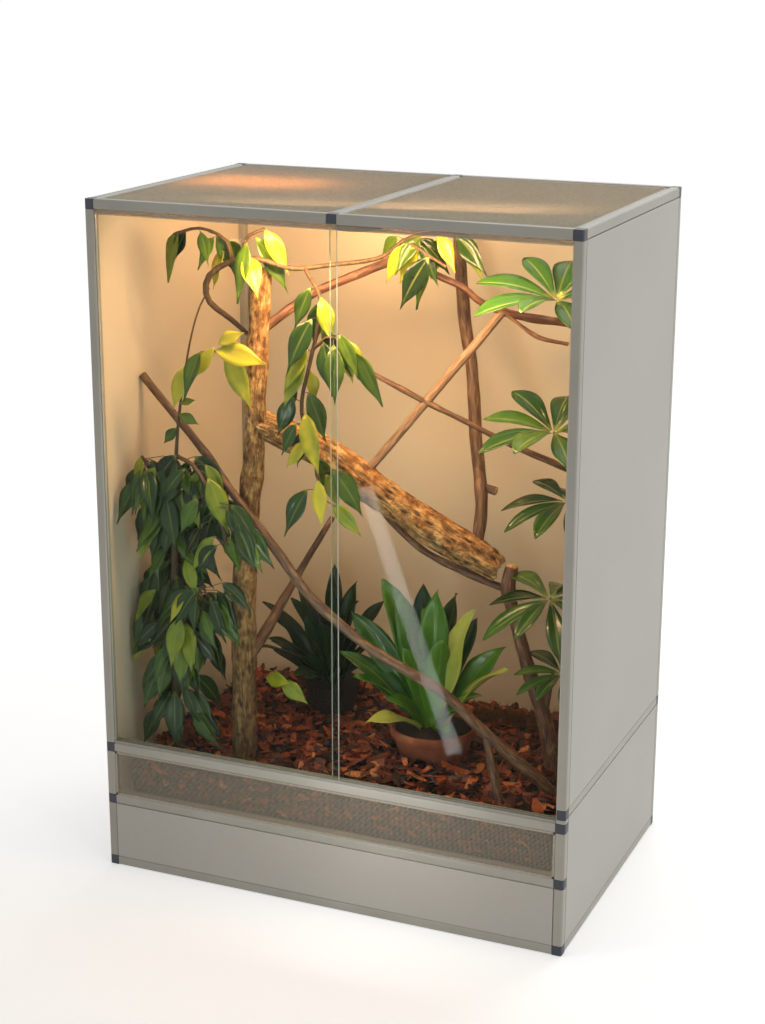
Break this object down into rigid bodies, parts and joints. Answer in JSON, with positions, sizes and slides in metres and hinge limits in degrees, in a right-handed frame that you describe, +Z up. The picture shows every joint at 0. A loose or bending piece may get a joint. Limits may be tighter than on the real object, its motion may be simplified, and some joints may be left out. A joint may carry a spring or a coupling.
{
  "type": "terrarium",
  "caption": "tall terrarium of square tubes with sliding glass doors, gauze top and vent, planted with branches, a cork log and potted plants, lit by a tilting lamp",
  "frame": {"origin": "on the floor, under the middle of the case", "axes": "+X to the right seen from the front, the doors face -Y, +Z up"},
  "size_m": [1, 0.65, 1.4],
  "materials": {
    "painted_frame": "satin powder coat, warm grey",
    "panel_board": "smooth laminate, warm grey outside and cream inside",
    "dark_plastic": "moulded, charcoal",
    "track_plastic": "extruded",
    "door_glass": "clear float glass, polished edges",
    "gauze_steel": "fine woven gauze",
    "bark_chips": "loose bark chips, rust to dark brown",
    "trunk_bark": "pitted pale bark",
    "branch_bark": "thin bark, scuffed along its ridges",
    "cork_bark": "cork bark, deep lengthwise cracks",
    "fig_leaf": "living leaves, glossy",
    "umbrella_leaf": "living leaves, glossy",
    "broad_leaf": "living leaves, satin",
    "rear_leaf": "living leaves, in shade",
    "terracotta": "unglazed",
    "lamp_enamel": "enamel",
    "lamp_steel": "plain",
    "lamp_glass": "frosted, warm"
  },
  "bodies": {
    "root": {"bar_middle": "painted_frame", "bark_bed": "bark_chips", "broad_leaved_plant": "broad_leaf", "climbing_fig": "fig_leaf", "connector_bottom_front_left": "dark_plastic", "connector_bottom_front_right": "dark_plastic", "connector_bottom_rear_left": "dark_plastic", "connector_bottom_rear_right": "dark_plastic", "connector_top_front_left": "dark_plastic", "connector_top_front_right": "dark_plastic", "connector_top_rear_left": "dark_plastic", "connector_top_rear_right": "dark_plastic", "cork_log": "cork_bark", "crossed_sticks": "branch_bark", "floor_deck": "panel_board", "gauze_top_left": "gauze_steel", "gauze_top_right": "gauze_steel", "gauze_vent": "gauze_steel", "lamp_arm": "lamp_steel", "long_branch": "branch_bark", "main_trunk": "trunk_bark", "panel_plinth_front": "panel_board", "panel_rear": "panel_board", "panel_side_left": "panel_board", "panel_side_right_lower": "panel_board", "panel_side_right_upper": "panel_board", "plant_pot": "terracotta", "post_front_left": "painted_frame", "post_front_right": "painted_frame", "post_rear_left": "painted_frame", "post_rear_right": "painted_frame", "rail_bottom_front": "painted_frame", "rail_bottom_left": "painted_frame", "rail_bottom_rear": "painted_frame", "rail_bottom_right": "painted_frame", "rail_door": "painted_frame", "rail_side_right": "painted_frame", "rail_top_front": "painted_frame", "rail_top_left": "painted_frame", "rail_top_rear": "painted_frame", "rail_top_right": "painted_frame", "rail_vent": "painted_frame", "rear_plant": "rear_leaf", "rear_trunk": "branch_bark", "support_branch": "branch_bark", "tee_door_rail_left": "dark_plastic", "tee_double_right": "dark_plastic", "tee_middle_bar_front": "dark_plastic", "tee_middle_bar_rear": "dark_plastic", "tee_side_rail_rear": "dark_plastic", "tee_vent_rail_left": "dark_plastic", "tee_vent_rail_right": "dark_plastic", "track_bottom": "track_plastic", "track_top": "track_plastic", "umbrella_plant": "umbrella_leaf", "upper_branch": "branch_bark"},
    "left_door": {"door_left": "door_glass"},
    "right_door": {"door_right": "door_glass"},
    "lamp": {"lamp_shade": "lamp_enamel", "lamp_bulb": "lamp_glass"}
  },
  "joints": [
    {"name": "left_door_slide", "type": "slide", "parent": "root", "child": "left_door", "axis": [1, 0, 0], "range_m": [0, 0.445]},
    {"name": "right_door_slide", "type": "slide", "parent": "root", "child": "right_door", "axis": [1, 0, 0], "range_m": [-0.485, 0]},
    {"name": "lamp_tilt", "type": "hinge", "parent": "root", "child": "lamp", "pos_m": [-0.14, 0.16, 1.362], "axis": [1, 0, 0], "range_deg": [-25, 25]}
  ]
}
